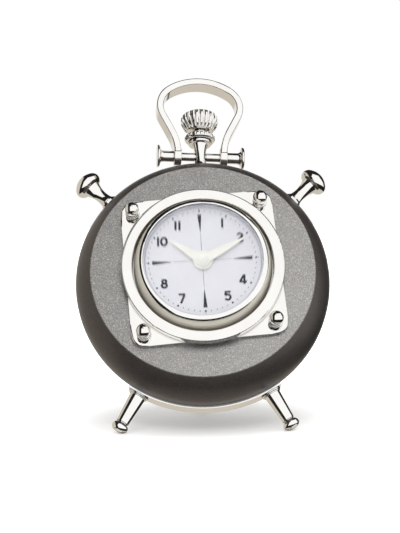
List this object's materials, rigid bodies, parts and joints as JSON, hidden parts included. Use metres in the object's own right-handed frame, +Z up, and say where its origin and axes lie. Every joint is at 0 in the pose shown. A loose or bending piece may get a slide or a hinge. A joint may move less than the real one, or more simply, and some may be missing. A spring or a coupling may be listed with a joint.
{
  "type": "table clock",
  "caption": "Round drum table clock shaped like a pocket watch, leaning back on three turned legs, with a bezel, fluted crown, swinging bow and a pull-out quartz insert.",
  "frame": {"origin": "middle of the bounding box, on the floor the three feet stand on", "axes": "+Z up, -Y towards the viewer of the dial, +X to the viewer's right; the face leans back 25 degrees from upright"},
  "size_m": [0.1278, 0.0944, 0.175],
  "materials": {
    "paint": "metallic satin",
    "nickel": "polished",
    "lens": "clear",
    "dial": "matt print",
    "rehaut": "satin",
    "hands": "satin",
    "black_plastic": "moulded",
    "white_plastic": "moulded",
    "rubber": "matt",
    "brass": "satin",
    "copper": "enamelled wire",
    "board": "coated",
    "steel": "satin"
  },
  "bodies": {
    "case": {"body_shell": "paint", "back_cover": "paint", "back_screws": "steel", "face_plate": "nickel", "bezel_ring": "nickel", "ball_posts": "nickel", "post_nuts": "steel", "stem": "nickel", "stem_nut": "steel", "collar": "nickel", "crown": "nickel", "cross_bar": "nickel", "bar_sleeves": "nickel", "pusher_left": "nickel", "pusher_right": "nickel", "cradle_band": "nickel", "leg_left": "nickel", "leg_right": "nickel", "leg_rear": "nickel", "foot_left": "nickel", "foot_right": "nickel", "foot_rear": "nickel"},
    "handle": {"bow": "nickel"},
    "insert": {"insert_ring": "nickel", "lens": "lens", "rehaut": "rehaut", "dial": "dial", "insert_can": "black_plastic", "gasket": "rubber", "main_plate": "brass", "cover_plate": "brass", "plate_pillars": "steel", "movement_housing": "white_plastic", "coil": "copper", "circuit_board": "board", "battery": "steel", "battery_contact": "brass"},
    "battery_hatch": {"battery_cover": "black_plastic"},
    "minute_train": {"cannon_pinion": "brass", "minute_hand": "hands", "hand_cap": "hands"},
    "hour_train": {"hour_wheel": "brass", "hour_hand": "hands"},
    "wheel": {"minute_wheel": "brass"},
    "setter": {"set_arbor": "brass", "set_knob": "black_plastic"}
  },
  "joints": [
    {"name": "bow_swing", "type": "hinge", "parent": "case", "child": "handle", "pos_m": [0, 0.02414, 0.13291], "axis": [0.9936, 0.1026, -0.0478], "range_deg": [-110, 110]},
    {"name": "insert_pull", "type": "slide", "parent": "case", "child": "insert", "axis": [0, -0.9063, 0.4226], "range_m": [0, 0.025]},
    {"name": "hatch_turn", "type": "hinge", "parent": "insert", "child": "battery_hatch", "pos_m": [-0.009, -0.00682, 0.0807], "axis": [0, -0.9063, 0.4226], "range_deg": [0, 60]},
    {"name": "minute_turn", "type": "hinge", "parent": "insert", "child": "minute_train", "pos_m": [0, -0.0273, 0.08032], "axis": [0, 0.9063, -0.4226], "continuous": true},
    {"name": "hour_turn", "type": "hinge", "parent": "insert", "child": "hour_train", "pos_m": [0, -0.02866, 0.08095], "axis": [0, 0.9063, -0.4226], "continuous": true},
    {"name": "wheel_turn", "type": "hinge", "parent": "insert", "child": "wheel", "pos_m": [0, -0.03111, 0.07216], "axis": [0, 0.9063, -0.4226], "continuous": true},
    {"name": "set_turn", "type": "hinge", "parent": "insert", "child": "setter", "pos_m": [0.00779, -0.03301, 0.06809], "axis": [0, 0.9063, -0.4226], "continuous": true}
  ],
  "couplings": [
    {"joint": "hour_turn", "follows": "minute_turn", "ratio": 0.083333},
    {"joint": "wheel_turn", "follows": "minute_turn", "ratio": -0.33333},
    {"joint": "set_turn", "follows": "minute_turn", "ratio": 1}
  ]
}
